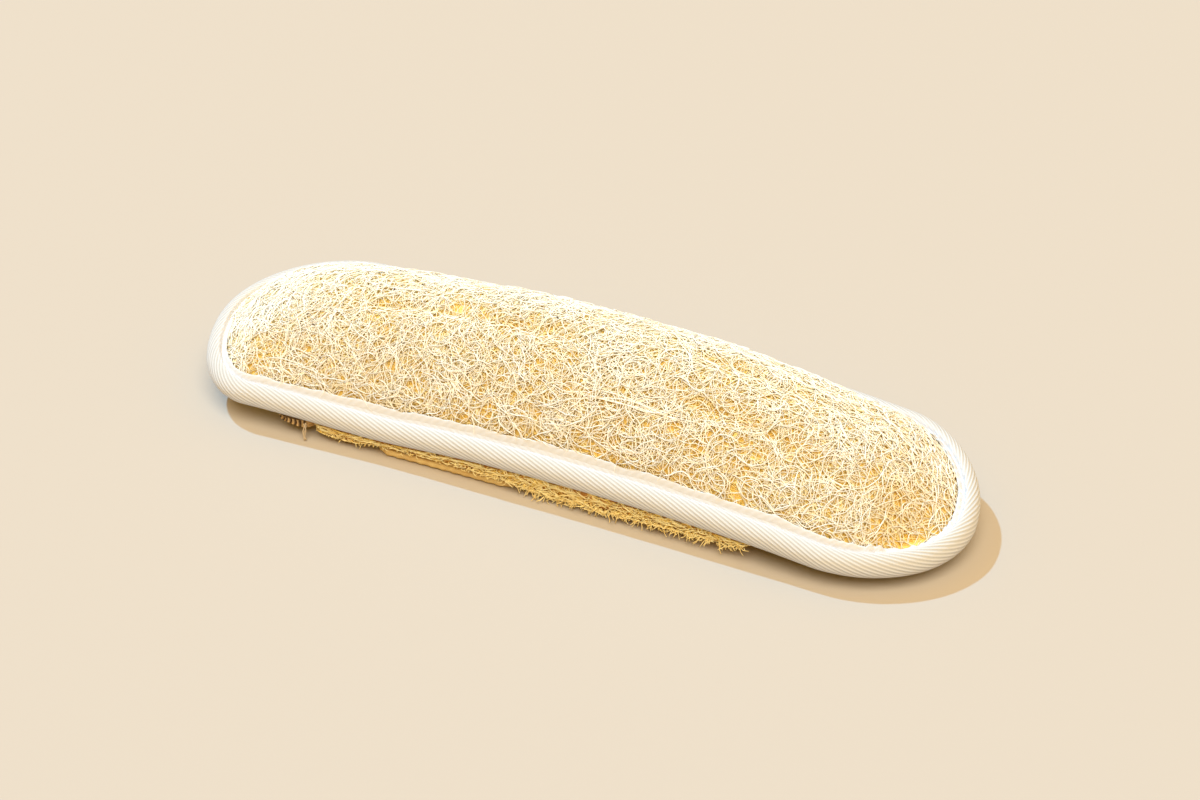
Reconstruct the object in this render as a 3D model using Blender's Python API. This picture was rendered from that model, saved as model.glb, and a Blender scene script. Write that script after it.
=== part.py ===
"""A long natural loofah scrubbing pad, bound round its edge with folded cotton tape.

The crowned front panel of gourd fibre lies on a second, shorter layer of loofah, which is
backed with cotton and closed at its left end by a gathered cuff. Metres, +Z up, long side along X.
"""

import math
import random

import bmesh
import bpy
from mathutils import Vector
from mathutils.geometry import delaunay_2d_cdt

MM = 0.001

# Whole pad
LENGTH = 280 * MM
WIDTH = 78 * MM
BOW = 4.5 * MM
END_NEAR = 40 * MM
END_FAR = 46 * MM
END_ROUNDNESS = 1.9
STATIONS = 112
OUTLINE_DENSE = 600
SMALL_CORNER = 0.5 * MM
GAP = 0.3 * MM
MERGE = 1e-9

# Height of the tape's middle line over the ground, along and across the pad
SEAM_HEIGHT = 16.6 * MM
SEAM_SLOPE = -0.5 * MM
SEAM_ARCH = -3.0 * MM
SEAM_TWIST = -4.2 * MM
SEAM_LEAN = 6.0 * MM
SEAM_LEAN_CHANGE = -1.4 * MM
SAG_DEPTH = 1.6 * MM
SAG_PLACE = -58 * MM
SAG_REACH = 26 * MM

# Folded binding tape, measured inwards from the outline and up from its middle line
TAPE_WALL = 1.6 * MM
SLOT_HALF = 1.5 * MM
ROLL_HALF = 3.9 * MM
FLANGE_REACH = 7.8 * MM
FLANGE_THICK = 0.7 * MM
FLANGE_MIDDLE = 1.1 * MM
FLANGE_EDGE = 0.5 * MM
GROOVE_REACH = 6.2 * MM
LOWER_REACH = 6.6 * MM
ROLL_DEPTH = 3.7 * MM
ROLL_WRAP = 110
ROLL_STEPS = 6

# Crowned front panel
PANEL_INSET = 2.0 * MM
SKIRT_INSET = 8.2 * MM
CROWN_HEIGHT = 27.5 * MM
CROWN_ACROSS = 2.15
CROWN_EDGE = 0.78
CROWN_ALONG = 2.1
FRONT_MESH = 6.4 * MM
FRONT_JITTER = 0.2
FRONT_SEED = 11
FRONT_JOIN_SEED = 13
UNDER_MESH = 19 * MM
STRAND = 1.5 * MM
RELIEF = 1.0 * MM
DENT_PLACE = (122 * MM, -14 * MM)
DENT_SIZE = 9 * MM
DENT_DEPTH = 3.5 * MM

# Second loofah layer
BACK_LEFT = -84 * MM
BACK_RIGHT = 78 * MM
BACK_NEAR_GAP = 1.2 * MM
BACK_FAR_GAP = 3.5 * MM
BACK_CORNER = 4 * MM
BACK_STEPS = (44, 2, 17)
BACK_STEP = 4.9 * MM
BACK_TUCK = 7.4 * MM
BACK_LIP = 5.5 * MM
BACK_MESH = 8.5 * MM
BACK_JITTER = 0.1
BACK_SEED = 22
FRAY_SEED = 21
BACK_STRAND = 0.8 * MM
BACK_RELIEF = 0.6 * MM
FRAY = 0.8 * MM
WINDOW_LEFT = -54 * MM
WINDOW_RIGHT = -12 * MM
WINDOW_RUN = 16 * MM
FRINGE_CLEAR = 1.2 * MM
FRINGE_LIFT = 2.0 * MM

# Underside: a flat spot on the ground, and the rise from it to the edges
FLAT_LEFT = -52 * MM
FLAT_RIGHT = 50 * MM
FLAT_NEAR = -22 * MM
FLAT_FAR = 14 * MM
RISE_LEFT = 1.2 * MM
RISE_RIGHT = 1.2 * MM
RISE_NEAR = 0.8 * MM
RISE_FAR = 9.0 * MM

# Cotton backing
CLOTH_THICK = 2.6 * MM
CLOTH_SPARE = 0.6 * MM
CLOTH_LEFT = BACK_LEFT + BACK_LIP + CLOTH_SPARE
CLOTH_RIGHT = BACK_RIGHT - BACK_LIP - CLOTH_SPARE
CLOTH_NEAR_GAP = 1.6 * MM
CLOTH_FAR_GAP = 9.8 * MM
CLOTH_RETREAT = 6.4 * MM
CLOTH_RETREAT_RUN = 12 * MM
CLOTH_STEPS = (22, 2, 8)
SOLE_EDGE = 0.45 * MM
LAYER_GAP = 0.6 * MM

# Gathered cuff at the left end of the backing
CUFF_LEFT = -98.5 * MM
CUFF_RIGHT = BACK_LEFT - 1.0 * MM
CUFF_CORNER = 5 * MM
CUFF_STEPS = (6, 6, 40)
CUFF_FOLD = 0.6 * MM
CUFF_HEM = 0.9 * MM


def clear_scene():
    for thing in list(bpy.data.objects):
        bpy.data.objects.remove(thing)


def material(name, colour, roughness):
    made = bpy.data.materials.new(name)
    made.use_nodes = True
    shader = made.node_tree.nodes["Principled BSDF"]
    shader.inputs["Base Color"].default_value = (*colour, 1)
    shader.inputs["Roughness"].default_value = roughness
    shader.inputs["Metallic"].default_value = 0
    return made


def face_outwards(mesh):
    bmesh.ops.recalc_face_normals(mesh, faces=mesh.faces)
    if mesh.calc_volume(signed=True) < 0:
        bmesh.ops.reverse_faces(mesh, faces=mesh.faces)


def finish(name, mesh, look):
    """Turns a bmesh into a named object with outward faces."""
    bmesh.ops.triangulate(mesh, faces=mesh.faces)
    face_outwards(mesh)
    data = bpy.data.meshes.new(name)
    mesh.to_mesh(data)
    mesh.free()
    data.materials.append(look)
    thing = bpy.data.objects.new(name, data)
    bpy.context.collection.objects.link(thing)
    return thing


def end_cut(x, length):
    """How much of the half width is left at x, where the pad rounds off over that length."""
    reach = (abs(x) - (LENGTH / 2 - length)) / length
    reach = min(max(reach, 0), 1)
    return (1 - reach**END_ROUNDNESS) ** (1 / END_ROUNDNESS)


def centre_line(x):
    return BOW * (1 - (x / (LENGTH / 2)) ** 2)


def near_edge(x):
    return centre_line(x) - WIDTH / 2 * end_cut(x, END_NEAR)


def far_edge(x):
    return centre_line(x) + WIDTH / 2 * end_cut(x, END_FAR)


def seam(x, y):
    """Height of the tape's middle line, carried on across the whole pad."""
    along = x / (LENGTH / 2)
    across = y / (WIDTH / 2)
    height = SEAM_HEIGHT + SEAM_SLOPE * along + SEAM_ARCH * along**2 + SEAM_TWIST * along**3
    height -= SAG_DEPTH * math.exp(-(((x - SAG_PLACE) / SAG_REACH) ** 2)) * (1 - across) / 2
    return height + (SEAM_LEAN + SEAM_LEAN_CHANGE * along) * across


def even_steps(points, count):
    """The closed line through points, as count points at equal distances along it."""
    closed = points + [points[0]]
    lengths = [0]
    for start, end in zip(closed, closed[1:]):
        lengths.append(lengths[-1] + (end - start).length)
    result = []
    place = 0
    for step in range(count):
        wanted = lengths[-1] * step / count
        while lengths[place + 1] < wanted:
            place += 1
        part = (wanted - lengths[place]) / (lengths[place + 1] - lengths[place])
        result.append(closed[place].lerp(closed[place + 1], part))
    return result


def pad_outline():
    """The pad's outline in plan, from dense points along its near and far edges."""
    near = []
    far = []
    for step in range(OUTLINE_DENSE + 1):
        x = -LENGTH / 2 * math.cos(math.pi * step / OUTLINE_DENSE)
        near.append(Vector((x, near_edge(x))))
        far.append(Vector((x, far_edge(x))))
    far.reverse()
    return even_steps(near + far, STATIONS)


def arc(centre, radius, start, steps):
    """A quarter turn from the start angle in degrees, without its last point."""
    turns = [math.radians(start + 90 * step / steps) for step in range(steps)]
    return [centre + radius * Vector((math.cos(turn), math.sin(turn))) for turn in turns]


def straight(start, end, steps):
    """A straight run, without its last point."""
    return [start.lerp(end, step / steps) for step in range(steps)]


def band_loop(ends, gaps, corner, steps, inset):
    """A closed loop in plan that follows the pad's long edges at a distance, with round corners.

    ends are its least and greatest x, gaps its distances from the near and the far edge, and
    steps its points along a long side, round a corner and across an end.
    """
    radius = max(corner - inset, SMALL_CORNER)
    left = ends[0] + inset + radius
    right = ends[1] - inset - radius
    along, around, across = steps
    near = []
    far = []
    for step in range(along + 1):
        x = left + (right - left) * step / along
        near.append(Vector((x, near_edge(x) + gaps[0] + inset)))
        far.append(Vector((x, far_edge(x) - gaps[1] - inset)))
    up = Vector((0, radius))
    out = Vector((radius, 0))
    far.reverse()
    loop = near[:along] + arc(near[-1] + up, radius, -90, around)
    loop += straight(near[-1] + up + out, far[0] - up + out, across)
    loop += arc(far[0] - up, radius, 0, around) + far[:along]
    loop += arc(far[-1] - up, radius, 90, around)
    loop += straight(far[-1] - up - out, near[0] + up - out, across)
    return loop + arc(near[0] + up, radius, 180, around)


def inset_loop(loop, distance):
    """The loop moved inwards, to its left as it runs round the pad."""
    moved = []
    for index, point in enumerate(loop):
        run = loop[(index + 1) % len(loop)] - loop[index - 1]
        inward = Vector((-run.y, run.x)).normalized()
        moved.append(point + inward * distance)
    return moved


OUTLINE = pad_outline()


def edge_distance(x, y):
    """Distance in plan from a point inside the pad to its outline."""
    point = Vector((x, y))
    nearest = LENGTH
    for index, end in enumerate(OUTLINE):
        start = OUTLINE[index - 1]
        run = end - start
        part = min(max((point - start).dot(run) / run.length_squared, 0), 1)
        nearest = min(nearest, (start + run * part - point).length)
    return nearest


def inside_loop(x, y, loop):
    """Whether a point lies inside a closed loop in plan."""
    inside = False
    for index, end in enumerate(loop):
        start = loop[index - 1]
        if (start.y > y) != (end.y > y):
            if x < start.x + (y - start.y) / (end.y - start.y) * (end.x - start.x):
                inside = not inside
    return inside


def ring_of(mesh, loop, height):
    """New vertices over a loop in plan, each at the height that a function of x and y gives."""
    return [mesh.verts.new((p.x, p.y, height(p.x, p.y))) for p in loop]


def bridge(mesh, first, second):
    """Quads between two rings with the same number of vertices."""
    for index in range(len(first)):
        corners = (first[index - 1], first[index], second[index], second[index - 1])
        mesh.faces.new(corners)


def lattice(spacing, jitter, seed):
    """Jittered points of a triangular lattice, wide enough for the whole pad."""
    draw = random.Random(seed)
    points = []
    row_height = spacing * math.sqrt(3) / 2
    rows = int(WIDTH / row_height)
    columns = int(LENGTH / spacing / 2) + 1
    for row in range(-rows, rows + 1):
        for column in range(-columns, columns + 1):
            x = (column + row % 2 / 2 + draw.uniform(-jitter, jitter)) * spacing
            y = row * row_height + draw.uniform(-jitter, jitter) * spacing
            if abs(x) < LENGTH / 2:
                points.append(Vector((x, y)))
    return points


def inside_only(points, loop):
    return [p for p in points if inside_loop(p.x, p.y, loop)]


def over_the_crown(points):
    """Wraps a flat lattice over a half round, so that its cells stay even down the steep sides."""
    radius = WIDTH / 2 - SKIRT_INSET
    wrapped = []
    for point in points:
        turn = point.y / radius
        if abs(turn) < math.pi / 2:
            wrapped.append(Vector((point.x, centre_line(point.x) + radius * math.sin(turn))))
    return wrapped


def fill_cap(mesh, ring, inner, height, creases=()):
    """Triangles that fill a ring of vertices, through the inner points and along any creases."""
    count = len(ring)
    plan = [Vector(v.co.xy) for v in ring] + inner
    loop_edges = [(i, (i + 1) % count) for i in range(count)]
    loop_edges += [(count + start, count + end) for start, end in creases]
    loop_face = [list(range(count))]
    places, _, corners, sources, _, _ = delaunay_2d_cdt(plan, loop_edges, loop_face, 1, MERGE)
    verts = []
    for place, source in zip(places, sources):
        if source and source[0] < count:
            verts.append(ring[source[0]])
        else:
            verts.append(mesh.verts.new((place.x, place.y, height(place.x, place.y))))
    return [mesh.faces.new([verts[i] for i in face]) for face in corners]


def is_convex(points):
    """Whether four corners seen from above turn the same way all round."""
    turns = []
    for index in range(len(points)):
        before = points[index - 1] - points[index - 2]
        after = points[index] - points[index - 1]
        turns.append(before.x * after.y - before.y * after.x)
    return min(turns) > 0 or max(turns) < 0


def faces_among(mesh, verts):
    return [f for f in mesh.faces if all(v in verts for v in f.verts)]


def join_some(mesh, faces, seed):
    """Takes out one edge of most pairs of triangles, so the net has cells of several shapes."""
    draw = random.Random(seed)
    allowed = set(faces)
    verts = {v for f in faces for v in f.verts}
    edges = []
    for edge in mesh.edges:
        if len(edge.link_faces) == 2 and all(f in allowed for f in edge.link_faces):
            edges.append(edge)
    draw.shuffle(edges)
    taken = set()
    dropped = []
    for edge in edges:
        pair = edge.link_faces
        if pair[0] in taken or pair[1] in taken:
            continue
        one, other = (next(l for l in f.loops if l.edge == edge) for f in pair)
        corners = (one.vert, other.link_loop_prev.vert, other.vert, one.link_loop_prev.vert)
        if is_convex([c.co.xy for c in corners]):
            taken.update(pair)
            dropped.append(edge)
    bmesh.ops.dissolve_edges(mesh, edges=dropped)
    return faces_among(mesh, verts)


def raise_net(mesh, faces, strand, relief):
    """Sinks the middle of each cell, which leaves its edges standing as strands."""
    bmesh.ops.inset_individual(mesh, faces=faces, thickness=strand / 2, depth=-relief)


def crown(x, y):
    """Rise of the front panel over its flat skirt."""
    inside = edge_distance(x, y) - SKIRT_INSET
    if inside <= 0:
        return 0
    across = min(inside / (WIDTH / 2 - SKIRT_INSET), 1)
    along = min(abs(x) / (LENGTH / 2 - SKIRT_INSET), 1)
    rise = CROWN_HEIGHT * (1 - along**CROWN_ALONG) ** 0.5
    rise *= (1 - (1 - across) ** CROWN_ACROSS) ** CROWN_EDGE
    away = Vector((x - DENT_PLACE[0], y - DENT_PLACE[1])).length
    return max(rise - DENT_DEPTH * math.exp(-((away / DENT_SIZE) ** 2)), 0)


def panel_top(x, y):
    return seam(x, y) + SLOT_HALF - GAP + crown(x, y)


def panel_bottom(x, y):
    return seam(x, y) - SLOT_HALF + GAP


def belly(x, y):
    """Clearance under the backing: nothing over a flat spot, and rising to its edges."""
    left = max(FLAT_LEFT - x, 0) / (FLAT_LEFT - BACK_LEFT)
    right = max(x - FLAT_RIGHT, 0) / (BACK_RIGHT - FLAT_RIGHT)
    near = max(FLAT_NEAR - y, 0) / (WIDTH / 2 + FLAT_NEAR)
    far = max(y - FLAT_FAR, 0) / (WIDTH / 2 - FLAT_FAR)
    rise = RISE_LEFT * left**2 + RISE_RIGHT * right**2
    return rise + RISE_NEAR * near**2 + RISE_FAR * far**2


def make_front_loofah():
    mesh = bmesh.new()
    rim = inset_loop(OUTLINE, PANEL_INSET)
    skirt = inset_loop(OUTLINE, SKIRT_INSET)
    bottom_ring = ring_of(mesh, rim, panel_bottom)
    rim_ring = ring_of(mesh, rim, panel_top)
    skirt_ring = ring_of(mesh, skirt, panel_top)
    bridge(mesh, bottom_ring, rim_ring)
    bridge(mesh, rim_ring, skirt_ring)
    room = inset_loop(OUTLINE, SKIRT_INSET + FRONT_MESH / 3)
    flat = lattice(FRONT_MESH, FRONT_JITTER, FRONT_SEED)
    inner = inside_only(over_the_crown(flat), room)
    cells = fill_cap(mesh, skirt_ring, inner, panel_top)
    under = inside_only(lattice(UNDER_MESH, 0, FRONT_SEED), room)
    fill_cap(mesh, bottom_ring, under, panel_bottom)
    cells = join_some(mesh, cells, FRONT_JOIN_SEED)
    face_outwards(mesh)
    raise_net(mesh, cells, STRAND, RELIEF)
    return finish("front_loofah", mesh, material("loofah_front", (0.83, 0.68, 0.43), 0.8))


def tape_section():
    """The folded tape cut across, as distances inwards and heights over its middle line."""
    section = [(LOWER_REACH, -SLOT_HALF - FLANGE_THICK)]
    for step in range(ROLL_STEPS + 1):
        turn = math.radians(ROLL_WRAP) * (2 * step / ROLL_STEPS - 1)
        section.append((ROLL_DEPTH * (1 - math.cos(turn)), ROLL_HALF * math.sin(turn)))
    section.append((GROOVE_REACH, SLOT_HALF + FLANGE_THICK))
    section.append(((GROOVE_REACH + FLANGE_REACH) / 2, SLOT_HALF + FLANGE_MIDDLE))
    section.append((FLANGE_REACH, SLOT_HALF + FLANGE_EDGE))
    section.append((FLANGE_REACH, SLOT_HALF))
    section.append((TAPE_WALL, SLOT_HALF))
    section.append((TAPE_WALL, -SLOT_HALF))
    section.append((LOWER_REACH, -SLOT_HALF))
    return section


def make_binding_tape():
    mesh = bmesh.new()
    rings = []
    for inset, height in tape_section():
        loop = inset_loop(OUTLINE, inset)
        rings.append(ring_of(mesh, loop, lambda x, y: seam(x, y) + height))
    for index in range(len(rings)):
        bridge(mesh, rings[index - 1], rings[index])
    return finish("binding_tape", mesh, material("cotton_tape", (0.86, 0.80, 0.70), 0.9))


def back_loop(inset):
    """The second layer's outline in plan, or a smaller loop inside it."""
    gaps = (BACK_NEAR_GAP, BACK_FAR_GAP)
    return band_loop((BACK_LEFT, BACK_RIGHT), gaps, BACK_CORNER, BACK_STEPS, inset)


def over_backing(x, y):
    return belly(x, y) + CLOTH_THICK + LAYER_GAP


def under_panel(x, y):
    return seam(x, y) - SLOT_HALF


def under_roll(x, y):
    return seam(x, y) - ROLL_HALF - GAP


def window(x, run):
    """1 where the cloth shows under the near edge of the second layer, and 0 past its ends."""
    beyond = max(WINDOW_LEFT - x, x - WINDOW_RIGHT, 0)
    part = 1 - min(beyond / run, 1)
    return part * part * (3 - 2 * part)


def fringe_low(x, y):
    """Lower edge of the layer's side: over the cloth in the window, and down past it elsewhere."""
    past = belly(x, y) + FRINGE_CLEAR + FRINGE_LIFT * max(x, 0) / BACK_RIGHT
    return past + (over_backing(x, y) - past) * window(x, WINDOW_RUN)


def make_back_loofah():
    draw = random.Random(FRAY_SEED)
    mesh = bmesh.new()
    levels = [
        (back_loop(BACK_TUCK), under_panel),
        (back_loop(BACK_STEP), under_roll),
        (back_loop(0), under_roll),
        (back_loop(0), fringe_low),
        (back_loop(BACK_LIP), over_backing),
    ]
    rings = [ring_of(mesh, loop, height) for loop, height in levels]
    top, _, upper, lower, bottom = rings
    for first, second in zip(rings, rings[1:]):
        bridge(mesh, first, second)
    room = back_loop(BACK_TUCK + BACK_MESH / 2)
    inner = inside_only(lattice(BACK_MESH, BACK_JITTER, BACK_SEED), room)
    fill_cap(mesh, top, inner, under_panel)
    fill_cap(mesh, bottom, inner, over_backing)
    for vertex in lower:
        vertex.co.x += draw.uniform(-FRAY, FRAY)
        vertex.co.y += draw.uniform(-FRAY, FRAY)
    face_outwards(mesh)
    raise_net(mesh, faces_among(mesh, set(upper + lower)), BACK_STRAND, BACK_RELIEF)
    return finish("back_loofah", mesh, material("loofah_back", (0.74, 0.52, 0.24), 0.85))


def cloth_loop(inset):
    """The backing's outline, which draws back behind the fringe outside the window."""
    gaps = (CLOTH_NEAR_GAP, CLOTH_FAR_GAP)
    loop = band_loop((CLOTH_LEFT, CLOTH_RIGHT), gaps, BACK_CORNER, CLOTH_STEPS, inset)
    for point in loop:
        if point.y < 0:
            point.y += CLOTH_RETREAT * (1 - window(point.x, CLOTH_RETREAT_RUN))
    return loop


def make_back_cloth():
    """The backing, which rests on a flat oblong and is lifted a little all round it."""
    mesh = bmesh.new()
    sole = cloth_loop(CLOTH_THICK / 3)
    bottom = ring_of(mesh, sole, lambda x, y: belly(x, y) + SOLE_EDGE)
    edge = ring_of(mesh, cloth_loop(0), lambda x, y: belly(x, y) + CLOTH_THICK / 2)
    top = ring_of(mesh, cloth_loop(CLOTH_THICK / 4), lambda x, y: belly(x, y) + CLOTH_THICK)
    bridge(mesh, bottom, edge)
    bridge(mesh, edge, top)
    left, right = FLAT_LEFT, FLAT_RIGHT
    near, far = FLAT_NEAR, FLAT_FAR
    corners = [Vector(c) for c in ((left, near), (right, near), (right, far), (left, far))]
    fill_cap(mesh, bottom, corners, lambda x, y: 0, [(0, 1), (1, 2), (2, 3), (3, 0)])
    room = cloth_loop(BACK_MESH / 2)
    inner = inside_only(lattice(BACK_MESH, 0, BACK_SEED), room)
    fill_cap(mesh, top, inner, lambda x, y: belly(x, y) + CLOTH_THICK)
    return finish("back_cloth", mesh, material("cotton_backing", (0.72, 0.60, 0.46), 0.95))


def cuff_loop():
    """The cuff's outline, with its outer faces drawn into small upright folds."""
    gaps = (BACK_NEAR_GAP, BACK_FAR_GAP)
    loop = band_loop((CUFF_LEFT, CUFF_RIGHT), gaps, CUFF_CORNER, CUFF_STEPS, 0)
    for index, point in enumerate(inset_loop(loop, CUFF_FOLD)):
        if index % 2 and point.x < CUFF_RIGHT - CUFF_HEM:
            loop[index] = point
    return loop


def cuff_low(x, y):
    """The hem, which drops from the tape at the left end to the backing's level."""
    part = (x - CUFF_LEFT) / (CUFF_RIGHT - CUFF_LEFT)
    high = under_roll(x, y) - CUFF_HEM
    low = belly(x, y) + FRINGE_CLEAR
    return high + (low - high) * part


def make_cuff():
    mesh = bmesh.new()
    loop = cuff_loop()
    top = ring_of(mesh, loop, under_roll)
    hem = ring_of(mesh, loop, cuff_low)
    bridge(mesh, top, hem)
    fill_cap(mesh, top, [], under_roll)
    fill_cap(mesh, hem, [], cuff_low)
    return finish("cuff", mesh, material("gathered_cuff", (0.66, 0.52, 0.38), 0.95))


def centre_pad(pieces, outer):
    """Hangs every piece on an empty, placed so that the pad stands centred on the origin."""
    places = [v.co for v in outer.data.vertices]
    carrier = bpy.data.objects.new("pad", None)
    bpy.context.collection.objects.link(carrier)
    carrier.location.x = -(min(p.x for p in places) + max(p.x for p in places)) / 2
    carrier.location.y = -(min(p.y for p in places) + max(p.y for p in places)) / 2
    for piece in pieces:
        piece.parent = carrier


def main():
    clear_scene()
    tape = make_binding_tape()
    pieces = [make_front_loofah(), tape, make_back_loofah(), make_back_cloth(), make_cuff()]
    centre_pad(pieces, tape)


main()
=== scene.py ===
"""Looks of the loofah scrubbing pad: fibre nets, herringbone binding tape, backing and cuff."""

import math

import bmesh
import bpy
import numpy as np
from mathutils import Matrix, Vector
from mathutils.bvhtree import BVHTree


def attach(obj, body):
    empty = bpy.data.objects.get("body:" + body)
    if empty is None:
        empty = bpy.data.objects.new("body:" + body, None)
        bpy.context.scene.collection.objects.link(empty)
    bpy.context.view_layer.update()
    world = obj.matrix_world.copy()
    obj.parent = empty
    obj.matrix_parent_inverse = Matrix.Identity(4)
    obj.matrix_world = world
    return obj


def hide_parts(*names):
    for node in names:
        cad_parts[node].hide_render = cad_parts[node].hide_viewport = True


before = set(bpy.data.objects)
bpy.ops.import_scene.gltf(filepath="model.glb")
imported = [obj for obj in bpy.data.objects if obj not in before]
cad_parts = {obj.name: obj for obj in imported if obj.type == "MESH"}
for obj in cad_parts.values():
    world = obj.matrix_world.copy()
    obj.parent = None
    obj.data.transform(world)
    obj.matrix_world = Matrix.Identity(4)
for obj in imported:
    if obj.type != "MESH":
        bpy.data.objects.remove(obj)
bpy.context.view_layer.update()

MM = 0.001

# Form of the pad, with the values of its source
LENGTH = 280 * MM
WIDTH = 78 * MM
BOW = 4.5 * MM
SHIFT = 3.4 * MM
END_NEAR = (30 * MM, 43 * MM)
END_FAR = (44 * MM, 33 * MM)
END_ROUNDNESS = 1.9
GAP = 0.3 * MM
SEAM_HEIGHT = 16.6 * MM
SEAM_SLOPE = -0.5 * MM
SEAM_ARCH = -3.0 * MM
SEAM_TWIST = -4.2 * MM
SEAM_LEAN = 6.0 * MM
SEAM_LEAN_CHANGE = -1.4 * MM
SAG_DEPTH = 1.6 * MM
SAG_PLACE = -58 * MM
SAG_REACH = 26 * MM
TAPE_WALL = 1.6 * MM
SLOT_HALF = 1.5 * MM
ROLL_HALF = 3.9 * MM
ROLL_DEPTH = 3.7 * MM
ROLL_WRAP = math.radians(110)
LOWER_REACH = 6.6 * MM
PANEL_INSET = 2.0 * MM
SKIRT_INSET = 6.0 * MM
SKIRT_OVERHANG = 3.6 * MM
CROWN_HEIGHT = 27.5 * MM
CROWN_ACROSS = 2.15
CROWN_EDGE = 0.78
CROWN_ALONG = 2.1
DENT_PLACE = (122 * MM, -14 * MM)
DENT_SIZE = 9 * MM
DENT_DEPTH = 3.5 * MM
BACK_LEFT = -84 * MM
BACK_RIGHT = 78 * MM
BACK_NEAR_GAP = 1.2 * MM
BACK_FAR_GAP = 3.5 * MM
BACK_CORNER = 4 * MM
BACK_LIP = 5.5 * MM
BACK_TUCK = 7.4 * MM
BACK_STEP = 4.9 * MM
WINDOW_LEFT = -54 * MM
WINDOW_RIGHT = -12 * MM
WINDOW_RUN = 16 * MM
FRINGE_CLEAR = 1.2 * MM
FRINGE_LIFT = 2.0 * MM
FLAT_LEFT = -52 * MM
FLAT_RIGHT = 50 * MM
FLAT_NEAR = -22 * MM
FLAT_FAR = 14 * MM
RISE_LEFT = 1.2 * MM
RISE_RIGHT = 1.2 * MM
RISE_NEAR = 0.8 * MM
RISE_FAR = 9.0 * MM
CLOTH_THICK = 2.6 * MM
CLOTH_SPARE = 0.6 * MM
CLOTH_NEAR_GAP = 1.6 * MM
CLOTH_FAR_GAP = 9.8 * MM
CLOTH_RETREAT = 6.4 * MM
CLOTH_RETREAT_RUN = 12 * MM
CLOTH_STITCH = 4.2 * MM
CLOTH_SCALLOP = 0.45 * MM
LAYER_GAP = 0.6 * MM
CUFF_LEFT = -98.5 * MM
CUFF_RIGHT = BACK_LEFT - 1.0 * MM
CUFF_CORNER = 5 * MM
CUFF_HEM = 0.9 * MM

# Furrows of the gourd, as (from x, to x, place across at each end, depth); across runs from -1 to 1
FURROWS = ((-75, 2, -0.14, -0.12, 1.7), (44, 105, -0.33, -0.44, 2.0), (42, 98, 0.07, 0.13, 1.4),
           (-120, 110, 0.45, 0.38, 0.9), (-112, 15, -0.60, -0.66, 0.5))
FURROW_WIDE = 0.055
THIN_FROM = 1.6 * MM

# Veins that stand out of the net, in the same way
VEINS = ((8, 50, -0.55, -0.50),)

# Camera and light
CAMERA_TURN = math.radians(25.2)
CAMERA_RISE = math.radians(33.8)
CAMERA_AWAY = 0.708
CAMERA_AIM = Vector((-4.2 * MM, 25.7 * MM, 0))
CAMERA_LENS = 60
WINDOW_FROM = Vector((-0.76, 0.31, 1.0))
OVERHEAD_FROM = Vector((0.22, -0.38, 0.90))


# Form

def end_cut(x, lengths):
    """How full the pad is across at x, with its own corner length at the left and at the right."""
    length = np.where(x < 0, *lengths)
    reach = np.clip((np.abs(x) - (LENGTH / 2 - length)) / length, 0, 1)
    return (1 - reach**END_ROUNDNESS) ** (1 / END_ROUNDNESS)


def centre_line(x):
    return BOW * (1 - (x / (LENGTH / 2)) ** 2) - SHIFT


def near_edge(x):
    return centre_line(x) - WIDTH / 2 * end_cut(x, END_NEAR)


def far_edge(x):
    return centre_line(x) + WIDTH / 2 * end_cut(x, END_FAR)


def seam(x, y):
    along = x / (LENGTH / 2)
    across = (y + SHIFT) / (WIDTH / 2)
    height = SEAM_HEIGHT + SEAM_SLOPE * along + SEAM_ARCH * along**2 + SEAM_TWIST * along**3
    height = height - SAG_DEPTH * np.exp(-(((x - SAG_PLACE) / SAG_REACH) ** 2)) * (1 - across) / 2
    return height + (SEAM_LEAN + SEAM_LEAN_CHANGE * along) * across


def even_loop(points, count):
    """A closed line as count points at equal distances along it."""
    closed = np.vstack([points, points[:1]])
    along = np.concatenate([[0], np.cumsum(np.linalg.norm(np.diff(closed, axis=0), axis=1))])
    wanted = along[-1] * np.arange(count) / count
    return np.stack([np.interp(wanted, along, closed[:, k]) for k in range(2)], 1), along[-1]


def pad_outline(count):
    x = -LENGTH / 2 * np.cos(np.linspace(0, math.pi, 1200))
    near = np.stack([x, near_edge(x)], 1)
    far = np.stack([x, far_edge(x)], 1)[::-1]
    return even_loop(np.vstack([near, far]), count)


def loop_inward(loop):
    run = np.roll(loop, -1, 0) - np.roll(loop, 1, 0)
    inward = np.stack([-run[:, 1], run[:, 0]], 1)
    return inward / np.linalg.norm(inward, axis=1)[:, None]


EDGE, _ = pad_outline(240)


def edge_distance(x, y):
    x, y = np.asarray(x, float), np.asarray(y, float)
    nearest = np.full(x.shape, LENGTH)
    for start, end in zip(np.roll(EDGE, 1, 0), EDGE):
        run = end - start
        part = np.clip(((x - start[0]) * run[0] + (y - start[1]) * run[1]) / (run @ run), 0, 1)
        nearest = np.minimum(nearest, np.hypot(start[0] + run[0] * part - x, start[1] + run[1] * part - y))
    return nearest


def smooth_step(part):
    part = np.clip(part, 0, 1)
    return part * part * (3 - 2 * part)


def overhang(x, y):
    """Where the net swells over the tape: the far side of the left end."""
    return smooth_step((y - centre_line(x) + 22 * MM) / (24 * MM)) * smooth_step((-x - 98 * MM) / (28 * MM))


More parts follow.
